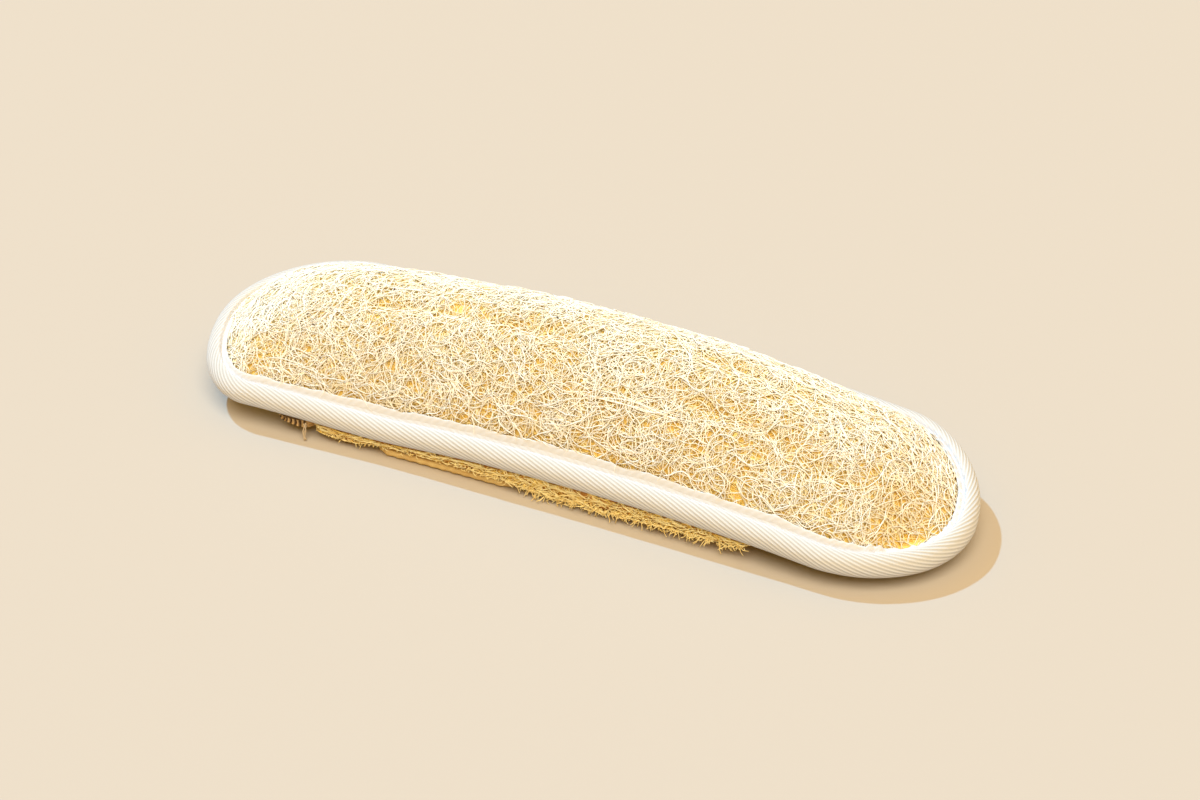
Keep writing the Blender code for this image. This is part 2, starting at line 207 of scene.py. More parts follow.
def crown(x, y):
    swell = SKIRT_OVERHANG * overhang(x, y)
    inside = np.maximum(edge_distance(x, y) - SKIRT_INSET + swell, 0)
    across = np.minimum(inside / (WIDTH / 2 - SKIRT_INSET), 1)
    along = np.minimum(np.abs(x) / (LENGTH / 2 - SKIRT_INSET + swell), 1)
    rise = CROWN_HEIGHT * (1 - along**CROWN_ALONG) ** 0.5
    rise = rise * (1 - (1 - across) ** CROWN_ACROSS) ** CROWN_EDGE
    away = np.hypot(x - DENT_PLACE[0], y + SHIFT - DENT_PLACE[1])
    return np.maximum(rise - DENT_DEPTH * np.exp(-((away / DENT_SIZE) ** 2)), 0)


def furrows(x, y):
    """Shallow lengthwise furrows and soft lumps, which fade out towards the tape."""
    place = (y - centre_line(x)) / (WIDTH / 2)
    depth = 0
    for start, end, left, right, deep in FURROWS:
        along = (x / MM - start) / (end - start)
        line = left + (right - left) * along + 0.02 * np.sin(9 * along + 7 * left)
        ends = smooth_step((x / MM - start + 8) / 16) * smooth_step((end + 8 - x / MM) / 16)
        depth = depth + deep * MM * ends * np.exp(-(((place - line) / FURROW_WIDE) ** 2))
    lumps = 0.35 * MM * np.sin(x * 130 + 3 * place) * np.sin(place * 6 + x * 40)
    return (depth + lumps) * smooth_step((edge_distance(x, y) - SKIRT_INSET) / (12 * MM))


def thin_shaded_places(x, y):
    """How far the golden inside shows through the thinner net in the furrows and in the dent; the same amount tints
    the fibres there golden as painted shade.
    """
    away = np.hypot(x - DENT_PLACE[0], y + SHIFT - DENT_PLACE[1])
    return np.clip(furrows(x, y) / THIN_FROM + 0.8 * np.exp(-((away / DENT_SIZE) ** 2)), 0, 1)


def panel_top(x, y):
    return seam(x, y) + SLOT_HALF - GAP + crown(x, y) - furrows(x, y)


def panel_bottom(x, y):
    return seam(x, y) - SLOT_HALF + GAP


def belly(x, y):
    y = y + SHIFT
    left = np.maximum(FLAT_LEFT - x, 0) / (FLAT_LEFT - BACK_LEFT)
    right = np.maximum(x - FLAT_RIGHT, 0) / (BACK_RIGHT - FLAT_RIGHT)
    near = np.maximum(FLAT_NEAR - y, 0) / (WIDTH / 2 + FLAT_NEAR)
    far = np.maximum(y - FLAT_FAR, 0) / (WIDTH / 2 - FLAT_FAR)
    return RISE_LEFT * left**2 + RISE_RIGHT * right**2 + RISE_NEAR * near**2 + RISE_FAR * far**2


def over_backing(x, y):
    return belly(x, y) + CLOTH_THICK + LAYER_GAP


def under_panel(x, y):
    return seam(x, y) - SLOT_HALF


def under_roll(x, y):
    return seam(x, y) - ROLL_HALF - GAP


def window(x, run):
    return smooth_step(1 - np.maximum(np.maximum(WINDOW_LEFT - x, x - WINDOW_RIGHT), 0) / run)


def fringe_low(x, y):
    past = belly(x, y) + FRINGE_CLEAR + FRINGE_LIFT * np.maximum(x, 0) / BACK_RIGHT
    return past + (over_backing(x, y) - past) * window(x, WINDOW_RUN)


def cuff_low(x, y):
    part = (x - CUFF_LEFT) / (CUFF_RIGHT - CUFF_LEFT)
    high = under_roll(x, y) - CUFF_HEM
    return high + (belly(x, y) + FRINGE_CLEAR - high) * part


def band_loop(ends, gaps, corner, inset, count):
    """A closed loop in plan that follows the long edges, with round corners, evenly spaced."""
    radius = max(corner - inset, 0.5 * MM)
    left, right = ends[0] + inset + radius, ends[1] - inset - radius
    x = np.linspace(left, right, 120)
    near = np.stack([x, near_edge(x) + gaps[0] + inset], 1)
    far = np.stack([x, far_edge(x) - gaps[1] - inset], 1)[::-1]
    turn = np.linspace(0, math.pi / 2, 9)[1:-1]

    def corner_at(centre, start):
        return centre + radius * np.stack([np.cos(turn + start), np.sin(turn + start)], 1)

    up = np.array([0, radius])
    loop = [near, corner_at(near[-1] + up, -math.pi / 2), [near[-1] + up + [radius, 0]]]
    loop += [[far[0] - up + [radius, 0]], corner_at(far[0] - up, 0), far]
    loop += [corner_at(far[-1] - up, math.pi / 2), [far[-1] - up - [radius, 0]]]
    loop += [[near[0] + up - [radius, 0]], corner_at(near[0] + up, math.pi)]
    return even_loop(np.vstack(loop), count)[0]


# Making

def deselect():
    bpy.ops.object.select_all(action="DESELECT")


def ready(name, look, slot, *nodes):
    """The active object becomes a finished piece with its look and body; the slot argument is not used."""
    piece = bpy.context.view_layer.objects.active
    piece.name = piece.data.name = name
    piece.data.materials.clear()
    piece.data.materials.append(look)
    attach(piece, "root")
    if nodes:
        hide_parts(*nodes)
    return piece


def face_out():
    bpy.ops.object.mode_set(mode="EDIT")
    bpy.ops.mesh.select_all(action="SELECT")
    bpy.ops.mesh.remove_doubles(threshold=1e-6)
    bpy.ops.mesh.normals_make_consistent(inside=False)
    bpy.ops.object.mode_set(mode="OBJECT")


def new_mesh_object(verts, faces):
    mesh = bpy.data.meshes.new("piece")
    mesh.from_pydata(verts, [], faces)
    thing = bpy.data.objects.new("piece", mesh)
    bpy.context.scene.collection.objects.link(thing)
    deselect()
    bpy.context.view_layer.objects.active = thing
    thing.select_set(True)
    return thing


def places_of(mesh):
    places = np.empty(len(mesh.vertices) * 3, np.float32)
    mesh.vertices.foreach_get("co", places)
    return places.reshape(-1, 3).astype(float)


def set_places(mesh, places):
    mesh.vertices.foreach_set("co", places.astype(np.float32).ravel())
    mesh.update()


def smooth_all(thing):
    deselect()
    thing.select_set(True)
    bpy.context.view_layer.objects.active = thing
    bpy.ops.object.shade_smooth()


def loft(rings, closed_up=True):
    """A closed body through rings of equal count, with its two ends filled."""
    count = len(rings[0])
    verts = np.vstack(rings)
    faces = []
    for level in range(len(rings) - 1):
        low, high = level * count, (level + 1) * count
        for i in range(count):
            j = (i + 1) % count
            faces.append((low + i, low + j, high + j, high + i))
    if closed_up:
        faces.append(tuple(range(count - 1, -1, -1)))
        faces.append(tuple(range((len(rings) - 1) * count, len(rings) * count)))
    thing = new_mesh_object(verts.tolist(), faces)
    bpy.ops.object.mode_set(mode="EDIT")
    bpy.ops.mesh.select_all(action="SELECT")
    bpy.ops.mesh.normals_make_consistent(inside=False)
    bpy.ops.object.mode_set(mode="OBJECT")
    return thing


def ring_at(loop, height, sway=0):
    x, y = loop[:, 0], loop[:, 1]
    return np.stack([x, y, height(x, y) + sway], 1)


# Fibres

def sample_faces(mesh, count, draw, wanted):
    """Random places on a mesh's faces, spread by area, where wanted(centres, normals) is above a draw."""
    mesh.calc_loop_triangles()
    corners = np.empty(len(mesh.loop_triangles) * 3, np.int32)
    mesh.loop_triangles.foreach_get("vertices", corners)
    triangles = places_of(mesh)[corners.reshape(-1, 3)]
    normals = np.cross(triangles[:, 1] - triangles[:, 0], triangles[:, 2] - triangles[:, 0])
    areas = np.linalg.norm(normals, axis=1)
    weight = areas * wanted(triangles.mean(1), normals / np.maximum(areas, 1e-12)[:, None])
    picked = draw.choice(len(areas), count, p=weight / weight.sum())
    mix = np.sqrt(draw.random(count)), draw.random(count)
    a, b, c = (triangles[picked, k] for k in range(3))
    return a * (1 - mix[0])[:, None] + b * (mix[0] * (1 - mix[1]))[:, None] + c * (mix[0] * mix[1])[:, None]


def walk_fibres(ground, starts, headings, bends, steps, step):
    """Lines that creep over a surface: each starts at a place, heads one way and bends as it goes."""
    lines = np.empty((len(starts), steps + 1, 3))
    ups = np.empty_like(lines)
    for index, (start, heading) in enumerate(zip(starts, headings)):
        place, up, _, _ = ground.find_nearest(Vector(start))
        run = Vector(heading)
        for k in range(steps + 1):
            lines[index, k] = place
            ups[index, k] = up
            run = run - up * run.dot(up)
            if run.length < 1e-9:
                run = up.orthogonal()
            run.normalize()
            run = run + up.cross(run) * bends[index, k]
            place, up, _, _ = ground.find_nearest(place + run * step[index])
    return lines, ups


def tube_mesh(lines, ups, radii, shades, sides=3):
    """One mesh of thin tubes along many lines with the same number of points."""
    count, points, _ = lines.shape
    along = np.gradient(lines, axis=1)
    along /= np.maximum(np.linalg.norm(along, axis=2, keepdims=True), 1e-12)
    across = np.cross(along, ups)
    across /= np.maximum(np.linalg.norm(across, axis=2, keepdims=True), 1e-12)
    rise = np.cross(across, along)
    turns = 2 * math.pi * np.arange(sides) / sides + math.pi / 2
    ring = across[:, :, None] * np.cos(turns)[None, None, :, None]
    ring = ring + rise[:, :, None] * np.sin(turns)[None, None, :, None]
    verts = lines[:, :, None] + ring * radii[:, :, None, None]
    first = np.arange(count)[:, None, None] * points * sides + np.arange(points - 1)[None, :, None] * sides
    k = np.arange(sides)[None, None, :]
    after = (k + 1) % sides
    quads = np.stack([first + k, first + k + sides, first + after + sides, first + after], 3).reshape(-1, 4)
    starts = np.arange(count)[:, None] * points * sides + np.arange(sides)[None, :]
    ends = (starts + (points - 1) * sides)[:, ::-1]
    faces = quads.tolist() + starts.tolist() + ends.tolist()
    thing = new_mesh_object(verts.reshape(-1, 3).tolist(), faces)
    shade = thing.data.attributes.new("shade", "FLOAT", "POINT")
    shade.data.foreach_set("value", np.repeat(shades.ravel(), sides).astype(np.float32))
    thing.data.polygons.foreach_set("use_smooth", np.ones(len(faces), bool))
    return thing


def fibre_layer(ground_mesh, seed, count, steps, step, low, high, thick, wanted, across_share, fade, golden):
    """A tangle of bent fibres between two heights over a surface."""
    draw = np.random.default_rng(seed)
    ground = BVHTree.FromPolygons(
        [v.co.copy() for v in ground_mesh.vertices], [tuple(p.vertices) for p in ground_mesh.polygons])
    starts = sample_faces(ground_mesh, count, draw, wanted)
    x, y = starts[:, 0], starts[:, 1]
    drift = 0.9 * np.sin(x * 70 + 40 * y + seed) + 0.7 * np.sin(y * 120 - 50 * x + 2 * seed)
    turn = math.pi / 2 + 0.3 * drift + draw.normal(0, 0.45, count)
    turn = np.where(draw.random(count) < across_share, turn, draw.normal(0, 0.5, count))
    turn = np.where(draw.random(count) < 0.5, turn, turn + math.pi)
    upright = draw.random(count) < 0.5
    headings = np.stack([np.cos(turn), np.sin(turn), np.where(upright, 0.4, -0.4) * np.abs(np.sin(turn))], 1)
    bends = draw.normal(0, 0.26, count)[:, None] + draw.normal(0, 0.26, (count, steps + 1))
    lengths = step * draw.uniform(0.7, 1.3, count)
    lines, ups = walk_fibres(ground, starts, headings, bends, steps, lengths)
    part = np.linspace(0, 1, steps + 1)[None, :]
    level = draw.uniform(0, 1, count)[:, None] + 0.3 * np.sin(
        part * draw.uniform(2, 7, count)[:, None] + draw.uniform(0, 6, count)[:, None])
    level = np.clip(level, -0.2, 1.2)
    dip = 0.45 * (2 * np.abs(part - 0.5)) ** 3
    lift = low + (high - low) * level - (high - low) * dip
    near_tape = fade(lines[:, :, 0], lines[:, :, 1], lines[:, :, 2])
    lift = lift * near_tape
    lines = lines + ups * lift[:, :, None]
    radii = thick * draw.uniform(0.7, 1.35, count)[:, None] * (1 - 0.45 * (2 * np.abs(part - 0.5)) ** 4)
    lines[:, :, 2] = np.maximum(lines[:, :, 2], radii)
    # Higher fibres are paler and deeper ones more golden: partly their own colour, partly painted shade for the
    # depth of the tangle.
    shades = 0.5 + 0.5 * level + draw.normal(0, 0.16, count)[:, None] - golden(lines[:, :, 0], lines[:, :, 1])
    shades = np.clip(shades, 0, 1)
    return tube_mesh(lines, ups, radii, shades)


# Finishes

def new_material(name, roughness):
    made = bpy.data.materials.new(name)
    made.use_nodes = True
    shader = made.node_tree.nodes["Principled BSDF"]
    shader.inputs["Roughness"].default_value = roughness
    return made, made.node_tree, shader


def value_node(tree, kind, first, second=None, third=None):
    node = tree.nodes.new("ShaderNodeMath")
    node.operation = kind
    for socket, value in zip(node.inputs, (first, second, third)):
        if value is None:
            continue
        if isinstance(value, (int, float)):
            socket.default_value = value
        else:
            tree.links.new(value, socket)
    return node.outputs[0]


def noise_node(tree, vector, scale, detail, rough=0.5):
    node = tree.nodes.new("ShaderNodeTexNoise")
    node.inputs["Scale"].default_value = scale
    node.inputs["Detail"].default_value = detail
    node.inputs["Roughness"].default_value = rough
    tree.links.new(vector, node.inputs["Vector"])
    return node.outputs["Fac"]


def mix_colour(tree, fac, first, second, kind="MIX"):
    node = tree.nodes.new("ShaderNodeMix")
    node.data_type = "RGBA"
    node.blend_type = kind
    for socket, value in ((node.inputs[0], fac), (node.inputs[6], first), (node.inputs[7], second)):
        if isinstance(value, (int, float)):
            socket.default_value = value
        elif isinstance(value, tuple):
            socket.default_value = (*value, 1)
        else:
            tree.links.new(value, socket)
    return node.outputs[2]


def new_group(name, inputs, outputs):
    group = bpy.data.node_groups.new(name, "ShaderNodeTree")
    for title, kind, value in inputs:
        socket = group.interface.new_socket(title, in_out="INPUT", socket_type=kind)
        if value is not None:
            socket.default_value = value
    for title, kind in outputs:
        group.interface.new_socket(title, in_out="OUTPUT", socket_type=kind)
    return group, group.nodes.new("NodeGroupInput"), group.nodes.new("NodeGroupOutput")


def fibre_colour_group():
    """Colour of dry gourd fibre: pale outside and golden deeper in, partly the fibre's own colour and partly painted
    shade for the depth of the net, with uneven bleaching and specks.
    """
    group, given, out = new_group(
        "gourd_fibre",
        [("Shade", "NodeSocketFloat", 0.5), ("Pale", "NodeSocketColor", (1, 1, 1, 1)),
         ("Golden", "NodeSocketColor", (1, 1, 1, 1)), ("Speck", "NodeSocketFloat", 0.0)],
        [("Color", "NodeSocketColor"), ("Height", "NodeSocketFloat")])
    place = group.nodes.new("ShaderNodeTexCoord").outputs["Object"]
    patches = noise_node(group, place, 45, 3)
    fine = noise_node(group, place, 900, 2)
    mixed = value_node(group, "MULTIPLY_ADD", patches, 0.7, -0.35)
    mixed = value_node(group, "ADD", given.outputs["Shade"], mixed)
    mixed = value_node(group, "MULTIPLY_ADD", fine, 0.3, value_node(group, "SUBTRACT", mixed, 0.15))
    clamped = group.nodes.new("ShaderNodeClamp")
    group.links.new(mixed, clamped.inputs[0])
    colour = mix_colour(group, clamped.outputs[0], given.outputs["Golden"], given.outputs["Pale"])
    spots = noise_node(group, place, 420, 1)
    spots = value_node(group, "GREATER_THAN", spots, 0.79)
    spots = value_node(group, "MULTIPLY", spots, given.outputs["Speck"])
    colour = mix_colour(group, spots, colour, (0.10, 0.04, 0.015))
    group.links.new(colour, out.inputs["Color"])
    group.links.new(fine, out.inputs["Height"])
    return group


def fibre_material(name, group, pale, golden, roughness, speck=0.0, attribute=True):
    made, tree, shader = new_material(name, roughness)
    colour = tree.nodes.new("ShaderNodeGroup")
    colour.node_tree = group
    colour.inputs["Pale"].default_value = (*pale, 1)
    colour.inputs["Golden"].default_value = (*golden, 1)
    colour.inputs["Speck"].default_value = speck
    if attribute:
        shade = tree.nodes.new("ShaderNodeAttribute")
        shade.attribute_name = "shade"
        tree.links.new(shade.outputs["Fac"], colour.inputs["Shade"])
    tree.links.new(colour.outputs["Color"], shader.inputs["Base Color"])
    bump = tree.nodes.new("ShaderNodeBump")
    bump.inputs["Strength"].default_value = 0.3
    bump.inputs["Distance"].default_value = 0.0001
    tree.links.new(colour.outputs["Height"], bump.inputs["Height"])
    tree.links.new(bump.outputs["Normal"], shader.inputs["Normal"])
    return made


def herringbone_group():
    """Ribs of a herringbone tape over a UV map in metres: their height, and a mask of rib shading, which paints
    shade into the grooves between the ribs and fades to a lighter painted highlight over the top of the roll and the
    flange.
    """
    group, given, out = new_group(
        "herringbone",
        [("Band", "NodeSocketFloat", 0.007), ("Pitch", "NodeSocketFloat", 0.0011), ("Lean", "NodeSocketFloat", 0.5),
         ("Start", "NodeSocketFloat", 0.0)],
        [("Height", "NodeSocketFloat"), ("RibShading", "NodeSocketFloat")])
    uv = group.nodes.new("ShaderNodeUVMap")
    split = group.nodes.new("ShaderNodeSeparateXYZ")
    group.links.new(uv.outputs[0], split.inputs[0])
    u, v = split.outputs[0], split.outputs[1]
    shifted = value_node(group, "SUBTRACT", v, given.outputs["Start"])
    band = value_node(group, "DIVIDE", shifted, given.outputs["Band"])
    side = value_node(group, "MODULO", value_node(group, "FLOOR", value_node(group, "ADD", band, 20.0)), 2.0)
    sign = value_node(group, "MULTIPLY_ADD", side, 2.0, -1.0)
    lean_u = value_node(group, "MULTIPLY", u, given.outputs["Lean"])
    lean_v = value_node(group, "MULTIPLY", value_node(group, "MULTIPLY", v, sign), 0.88)
    across = value_node(group, "ADD", lean_u, lean_v)
    rib = value_node(group, "SINE", value_node(group, "MULTIPLY", value_node(
        group, "DIVIDE", across, given.outputs["Pitch"]), 2 * math.pi))
    # Painted highlight: from 13 to 15 mm round the tape the ribs flatten and the colour turns lighter, over the top
    # of the roll and the flange.
    glare_fade = group.nodes.new("ShaderNodeMapRange")
    for title, value in (("From Min", 13 * MM), ("From Max", 15 * MM), ("To Min", 0.5), ("To Max", 0.1)):
        glare_fade.inputs[title].default_value = value
    group.links.new(v, glare_fade.inputs["Value"])
    height = value_node(group, "SUBTRACT", 1.0, glare_fade.outputs["Result"])
    height = value_node(group, "MULTIPLY_ADD", rib, glare_fade.outputs["Result"], height)
    along = value_node(group, "SUBTRACT", value_node(group, "MULTIPLY", u, 0.9), value_node(
        group, "MULTIPLY", value_node(group, "MULTIPLY", v, sign), 0.45))
    thread = value_node(group, "SINE", value_node(group, "MULTIPLY", value_node(
        group, "DIVIDE", along, given.outputs["Pitch"]), 4.4 * math.pi))
    thread = value_node(group, "MULTIPLY_ADD", thread, glare_fade.outputs["Result"], 0.5)
    total = value_node(group, "MULTIPLY_ADD", thread, 0.3, height)
    group.links.new(total, out.inputs["Height"])
    group.links.new(height, out.inputs["RibShading"])
    return group


def tape_material(group):
    made, tree, shader = new_material("bleached_cotton_tape", 0.85)
    ribs = tree.nodes.new("ShaderNodeGroup")
    ribs.node_tree = group
    ribs.inputs["Band"].default_value = 14 * MM
    ribs.inputs["Start"].default_value = -11 * MM
    ribs.inputs["Pitch"].default_value = 1.05 * MM
    ribs.inputs["Lean"].default_value = 0.32
    place = tree.nodes.new("ShaderNodeTexCoord").outputs["Object"]
    mottle = noise_node(tree, place, 60, 3)
    # Painted shade in the grooves between the ribs, with a painted highlight on the top of the tape and its flange.
    rib_shading = mix_colour(tree, ribs.outputs["RibShading"], (0.50, 0.52, 0.56), (0.70, 0.73, 0.82))
    colour = mix_colour(tree, value_node(tree, "MULTIPLY", mottle, 0.25), rib_shading, (0.64, 0.64, 0.64))
    tree.links.new(colour, shader.inputs["Base Color"])
    fuzz = noise_node(tree, place, 2500, 2)
    height = value_node(tree, "MULTIPLY_ADD", fuzz, 0.25, ribs.outputs["Height"])
    bump = tree.nodes.new("ShaderNodeBump")
    bump.inputs["Strength"].default_value = 0.6
    bump.inputs["Distance"].default_value = 0.0003
    tree.links.new(height, bump.inputs["Height"])
    tree.links.new(bump.outputs["Normal"], shader.inputs["Normal"])
    shader.inputs["Sheen Weight"].default_value = 0.15
    return made


def cloth_material(name, light, dark, fold_shade=None):
    """Plain cotton, mottled, with a fine weave on Object coordinates and, where it is gathered, painted shade in the
    valleys between the folds.
    """
    made, tree, shader = new_material(name, 0.95)
    place = tree.nodes.new("ShaderNodeTexCoord").outputs["Object"]
    mottle = noise_node(tree, place, 220, 4, 0.65)
    colour = mix_colour(tree, mottle, dark, light)
    if fold_shade:
        fold_shade_mask = tree.nodes.new("ShaderNodeAttribute")
        fold_shade_mask.attribute_name = "fold"
        colour = mix_colour(tree, fold_shade_mask.outputs["Fac"], colour, fold_shade)
    tree.links.new(colour, shader.inputs["Base Color"])
    split = tree.nodes.new("ShaderNodeSeparateXYZ")
    tree.links.new(place, split.inputs[0])
    warp = value_node(tree, "SINE", value_node(tree, "MULTIPLY", split.outputs[0], 2 * math.pi / (0.7 * MM)))
    weft = value_node(tree, "SINE", value_node(tree, "MULTIPLY", value_node(
        tree, "ADD", split.outputs[1], split.outputs[2]), 2 * math.pi / (0.7 * MM)))
    weave = value_node(tree, "MULTIPLY", warp, weft)
    height = value_node(tree, "MULTIPLY_ADD", mottle, 1.2, weave)
    bump = tree.nodes.new("ShaderNodeBump")
    bump.inputs["Strength"].default_value = 0.6
    bump.inputs["Distance"].default_value = 0.0003
    tree.links.new(height, bump.inputs["Height"])
    tree.links.new(bump.outputs["Normal"], shader.inputs["Normal"])
    return made


# Pieces

def sphere_body(rings, segments):
    """A closed ball with its poles on the X axis, to be drawn out into a long body."""
    deselect()
    bpy.ops.mesh.primitive_uv_sphere_add(segments=segments, ring_count=rings, radius=1)
    ball = bpy.context.active_object
    bpy.ops.transform.rotate(value=math.pi / 2, orient_axis="Y", center_override=(0, 0, 0))
    bpy.ops.object.transform_apply(location=True, rotation=True, scale=True)
    return ball


def panel_surface():
    """The front panel's closed surface, without its fibres."""
    ball = sphere_body(200, 80)
    unit = places_of(ball.data)
    x = (LENGTH / 2 - PANEL_INSET) * unit[:, 0]
    girth = np.sqrt(np.maximum(1 - unit[:, 0] ** 2, 1e-12))
    side = np.clip(unit[:, 1] / girth, -1, 1)
    middle = (near_edge(x) + far_edge(x)) / 2
    half = np.maximum((far_edge(x) - near_edge(x)) / 2 - PANEL_INSET, 0)
    y = middle + half * side
    low, high = panel_bottom(x, y), panel_top(x, y)
    up = unit[:, 2] / girth
    z = np.where(np.abs(up) < 0.01, (low + high) / 2, np.where(up > 0, high, low))
    set_places(ball.data, np.stack([x, y, z], 1))
    face_out()
    return ball


def sink(thing, depth, fade):
    """Moves a surface inwards along its normals."""
    mesh = thing.data
    places = places_of(mesh)
    normals = np.empty(len(mesh.vertices) * 3, np.float32)
    mesh.vertices.foreach_get("normal", normals)
    normals = normals.reshape(-1, 3)
    amount = depth * fade(places[:, 0], places[:, 1])
    set_places(mesh, places - normals * amount[:, None])


def tape_profile():
    """The folded tape cut across: inset, height over its middle line, both in order round it."""
    points = []
    for turn in np.linspace(-ROLL_WRAP, ROLL_WRAP, 27):
        points.append((ROLL_DEPTH * (1 - math.cos(turn)), ROLL_HALF * math.sin(turn)))
    points += [(inset * MM, height * MM) for inset, height in (
        (5.15, 2.9), (5.3, 2.35), (5.5, 2.2), (5.75, 2.4), (6.1, 2.65), (6.5, 2.6), (6.9, 2.45), (7.2, 2.3),
        (7.4, 2.05), (7.5, 1.7), (7.3, 1.35))]
    points += [(7.0 * MM, SLOT_HALF - GAP), (TAPE_WALL, SLOT_HALF - GAP), (TAPE_WALL, -SLOT_HALF)]
    points += [(LOWER_REACH, -SLOT_HALF), (LOWER_REACH, -2.2 * MM), (5.9 * MM, -2.6 * MM)]
    return np.array(points)


def make_tape(look, slot):
    profile = tape_profile()
    rounds, around = 960, len(profile)
    loop, length = pad_outline(rounds)
    inward = loop_inward(loop)
    s = np.arange(rounds) / rounds * length
    draw = np.random.default_rng(5)
    wave = np.zeros(rounds)
    for size, swing in ((9, 0.12), (17, 0.14), (31, 0.14), (55, 0.10), (90, 0.06)):
        wave += swing * np.sin(2 * math.pi * (size * s / length + draw.random()))
    pucker = np.zeros(rounds)
    for size in (78, 118, 151, 190):
        pucker += 0.25 * np.sin(2 * math.pi * (size * s / length + draw.random()))
    corner = 0.15 + 0.85 * smooth_step((loop[:, 0] - 95 * MM) / (30 * MM))
    places = np.empty((rounds, around, 3))
    for k, (inset, height) in enumerate(profile):
        flange = smooth_step((inset - 4.2 * MM) / (1.2 * MM)) if height > 0 else 0.0
        bulge = math.exp(-((height / (3.2 * MM)) ** 2)) if inset < 4 * MM else 0.0
        shown = 1.0 if height > SLOT_HALF + 0.2 * MM and inset > 5 * MM else 0.0
        moved = inset + (wave * 0.5 * flange + pucker * 0.35 * shown * corner) * MM
        outer = moved + 0.22 * MM * wave * bulge
        plan = loop + inward * outer[:, None]
        lift = height + (0.35 * wave * flange * shown + 0.45 * pucker * corner * shown) * MM
        places[:, k, :2] = plan
        climb = crown(plan[:, 0], plan[:, 1]) * (1 - overhang(plan[:, 0], plan[:, 1]))
        places[:, k, 2] = seam(plan[:, 0], plan[:, 1]) + lift + climb
    here = np.arange(rounds)[:, None] * around + np.arange(around)[None, :]
    ahead, after = np.roll(here, -1, 0), np.roll(here, -1, 1)
    faces = np.stack([here, ahead, np.roll(ahead, -1, 1), after], 2).reshape(-1, 4)
    ring = new_mesh_object(places.reshape(-1, 3).tolist(), faces.tolist())
    steps = np.linalg.norm(np.diff(np.vstack([profile, profile[:1]]), axis=0), axis=1)
    height_uv = np.concatenate([[0], np.cumsum(steps)])
    i, k = np.meshgrid(np.arange(rounds), np.arange(around), indexing="ij")
    corners = np.stack([np.stack([(i + di) * length / rounds, height_uv[k + dk]], 2)
                        for di, dk in ((0, 0), (1, 0), (1, 1), (0, 1))], 2)
    uv = ring.data.uv_layers.new(name="tape")
    uv.data.foreach_set("uv", corners.astype(np.float32).ravel())
    bpy.ops.object.mode_set(mode="EDIT")
    bpy.ops.mesh.select_all(action="SELECT")
    bpy.ops.mesh.normals_make_consistent(inside=False)
    bpy.ops.object.mode_set(mode="OBJECT")
    smooth_all(ring)
    return ready("herringbone_tape", look, slot, "binding_tape")


def make_front(core_look, looks, slot):
    surface = panel_surface()
    ground = surface.data.copy()
    sink(surface, 1.6 * MM, lambda x, y: smooth_step((edge_distance(x, y) - 4.6 * MM) / (2.6 * MM)))
    smooth_all(surface)
    ready("front_core", core_look, slot, "front_loofah")

    def on_top(centres, normals):
        inside = edge_distance(centres[:, 0], centres[:, 1])
        covered = SKIRT_OVERHANG * overhang(centres[:, 0], centres[:, 1])
        full = 1 - 0.55 * thin_shaded_places(centres[:, 0], centres[:, 1])
        return (normals[:, 2] > 0.02) * (inside > 7.0 * MM - covered) * full

    def fade(x, y, z):
        return 0.7 + 0.3 * smooth_step((edge_distance(x, y) - 6.4 * MM) / (3 * MM))

    # Painted shade: fibres in the furrows and the dent are tinted golden.
    def golden(x, y):
        return 0.7 * thin_shaded_places(x, y)

    layers = (
        ("front_net_long", 15, 1000, 11, 1.55 * MM, 0.0 * MM, 0.55 * MM, 0.19 * MM, 0.66),
        ("front_net_outer", 11, 3900, 8, 1.35 * MM, -0.3 * MM, 0.5 * MM, 0.18 * MM, 0.72),
        ("front_net_upper", 14, 3900, 8, 1.35 * MM, -0.8 * MM, 0.0 * MM, 0.18 * MM, 0.68),
        ("front_net_middle", 12, 2900, 7, 1.35 * MM, -1.3 * MM, -0.5 * MM, 0.21 * MM, 0.64),
        ("front_net_inner", 13, 2200, 5, 1.45 * MM, -1.6 * MM, -0.9 * MM, 0.26 * MM, 0.6))
    for (name, seed, count, steps, step, low, high, thick, share), look in zip(layers, looks):
        fibre_layer(ground, seed, count, steps, step, low, high, thick, on_top, share, fade, golden)
        ready(name, look, slot)
    make_veins(looks[0], slot)


def make_veins(look, slot):
    """A few thick strands, twisted together, that stand out of the front net."""
    draw = np.random.default_rng(51)
    part = np.linspace(0, 1, 26)
    lines = []
    for start, end, first, last in VEINS:
        for _ in range(5):
            reach = draw.uniform(-0.25, 0.2), draw.uniform(0.8, 1.25)
            along = reach[0] + (reach[1] - reach[0]) * part
            sway = 0.6 * np.sin(draw.uniform(4, 9) * part + draw.uniform(0, 6)) + draw.normal(0, 0.8)
            x = (start + (end - start) * along + 0.3 * sway) * MM
            y = centre_line(x) + WIDTH / 2 * (first + (last - first) * along) + sway * MM
            z = panel_top(x, y) + (0.1 + 0.3 * np.sin(draw.uniform(5, 11) * part + draw.uniform(0, 6))) * MM
            lines.append(np.column_stack([x, y, z]))
    lines = np.array(lines)
    ups = np.zeros_like(lines)
    ups[:, :, 2] = 1
    taper = 1 - 0.6 * (2 * np.abs(part - 0.5)) ** 4
    radii = 0.2 * MM * draw.uniform(0.7, 1.2, len(lines))[:, None] * taper[None, :]
    tube_mesh(lines, ups, radii, np.ones(lines.shape[:2]), sides=5)
    return ready("front_net_veins", look, slot)


